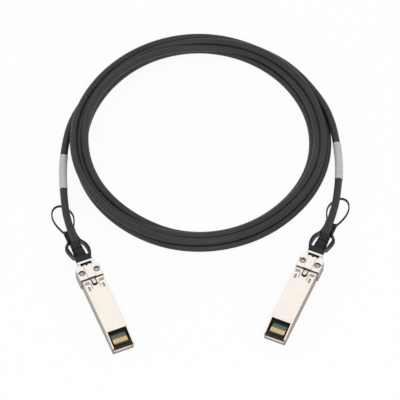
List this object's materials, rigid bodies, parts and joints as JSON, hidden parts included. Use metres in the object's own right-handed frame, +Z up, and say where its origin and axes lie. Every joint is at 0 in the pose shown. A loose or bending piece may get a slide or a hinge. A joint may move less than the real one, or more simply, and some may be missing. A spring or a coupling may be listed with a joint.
{
  "type": "direct attach copper cable",
  "caption": "Coiled black twin-axial cable with a metal pluggable connector on each end, each with a card edge, a latch post and a black looped pull tab.",
  "frame": {"origin": "middle, in plan, of the box around the two plugs with their tabs, at the height of the floor they lie on", "axes": "+Z up from the floor, +Y from the plug tips towards the coil, +X from the left plug to the right one"},
  "size_m": [0.182, 0.2319, 0.0105],
  "materials": {
    "die_cast_shell": "satin nickel plated die casting",
    "die_cast_nose": "satin nickel plated die casting",
    "screw_steel": "dark plated screw",
    "card_laminate": "green solder resist over laminate",
    "gold_contacts": "gold plated pads",
    "chip_black": "moulded chip packages",
    "pair_foil": "foil wrapped twin-axial pairs",
    "copper_cores": "silver plated copper cores, bare ends",
    "ferrule_brass": "crimped ring",
    "boot_rubber": "moulded strain relief, matt black",
    "latch_steel": "pressed and plated steel",
    "spring_steel": "spring strip",
    "tab_plastic": "flexible moulded tab, satin black",
    "cable_jacket": "extruded cable jacket, matt black",
    "label_film": "bare light grey wrap label"
  },
  "bodies": {
    "cable_and_plugs": {"left_lower_shell": "die_cast_shell", "left_upper_shell": "die_cast_shell", "left_nose_cover": "die_cast_nose", "left_cover_screws": "screw_steel", "left_paddle_card": "card_laminate", "left_contact_pads": "gold_contacts", "left_card_chips": "chip_black", "left_signal_pairs": "pair_foil", "left_pair_cores": "copper_cores", "left_shield_ferrule": "ferrule_brass", "left_boot": "boot_rubber", "right_lower_shell": "die_cast_shell", "right_upper_shell": "die_cast_shell", "right_nose_cover": "die_cast_nose", "right_cover_screws": "screw_steel", "right_paddle_card": "card_laminate", "right_contact_pads": "gold_contacts", "right_card_chips": "chip_black", "right_signal_pairs": "pair_foil", "right_pair_cores": "copper_cores", "right_shield_ferrule": "ferrule_brass", "right_boot": "boot_rubber", "left_cable_tail": "cable_jacket", "right_cable_tail": "cable_jacket", "left_label": "label_film", "right_label": "label_film", "cable_coil": "cable_jacket"},
    "left_release": {"left_latch_slider": "latch_steel", "left_pull_tab": "tab_plastic"},
    "left_latch_rocker": {"left_latch": "latch_steel", "left_latch_spring": "spring_steel"},
    "right_release": {"right_latch_slider": "latch_steel", "right_pull_tab": "tab_plastic"},
    "right_latch_rocker": {"right_latch": "latch_steel", "right_latch_spring": "spring_steel"}
  },
  "joints": [
    {"name": "left_release_pull", "type": "slide", "parent": "cable_and_plugs", "child": "left_release", "axis": [-0.3795, 0.9252, 0], "range_m": [0, 0.0025], "stiffness_N_per_m": 400, "springref_m": -0.002},
    {"name": "left_latch_tilt", "type": "hinge", "parent": "cable_and_plugs", "child": "left_latch_rocker", "pos_m": [-0.06561, -0.00531, 0.0075], "axis": [0.9252, 0.3795, 0], "range_deg": [0, 12]},
    {"name": "right_release_pull", "type": "slide", "parent": "cable_and_plugs", "child": "right_release", "axis": [0.3971, 0.9178, 0], "range_m": [0, 0.0025], "stiffness_N_per_m": 400, "springref_m": -0.002},
    {"name": "right_latch_tilt", "type": "hinge", "parent": "cable_and_plugs", "child": "right_latch_rocker", "pos_m": [0.06467, 0.00062, 0.0075], "axis": [0.9178, -0.3971, 0], "range_deg": [0, 12]}
  ],
  "couplings": [
    {"joint": "left_latch_tilt", "follows": "left_release_pull", "rad_per_m": 83.5},
    {"joint": "right_latch_tilt", "follows": "right_release_pull", "rad_per_m": 83.5}
  ]
}
